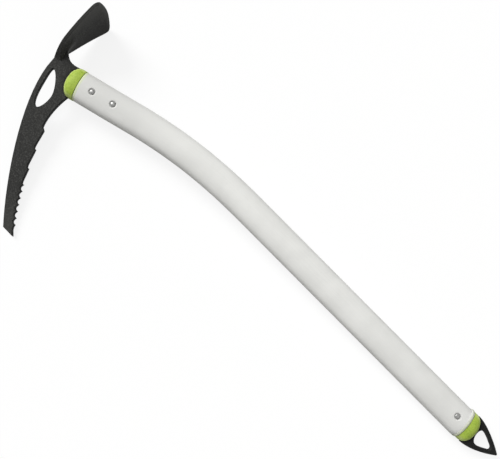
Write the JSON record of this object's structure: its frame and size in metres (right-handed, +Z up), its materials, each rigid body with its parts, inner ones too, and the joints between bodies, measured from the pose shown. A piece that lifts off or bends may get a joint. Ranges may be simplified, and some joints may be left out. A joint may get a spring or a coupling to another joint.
{
  "type": "ice axe",
  "caption": "Mountaineering ice axe: toothed pick, carabiner eye and flared adze on a bent oval tube, with domed collars and a pierced foot spike.",
  "frame": {"origin": "middle of the footprint of the axe as it lies on the floor, at floor level", "axes": "+X along the lower straight of the shaft from head to spike, +Y from the pick's side towards the adze's side, +Z up from the floor"},
  "size_m": [0.5992, 0.2266, 0.0564],
  "materials": {
    "satin_aluminium": "satin anodised, pale silver",
    "black_steel": "matt black coat on forged steel",
    "green_plastic": "satin, leaf green",
    "rivet_steel": "bright, lightly worn"
  },
  "bodies": {
    "root": {"shaft_tube": "satin_aluminium", "head": "black_steel", "head_collar": "green_plastic", "head_rivet_upper": "rivet_steel", "head_rivet_lower": "rivet_steel", "spike": "black_steel", "spike_collar": "green_plastic", "spike_rivet": "rivet_steel"}
  },
  "joints": []
}
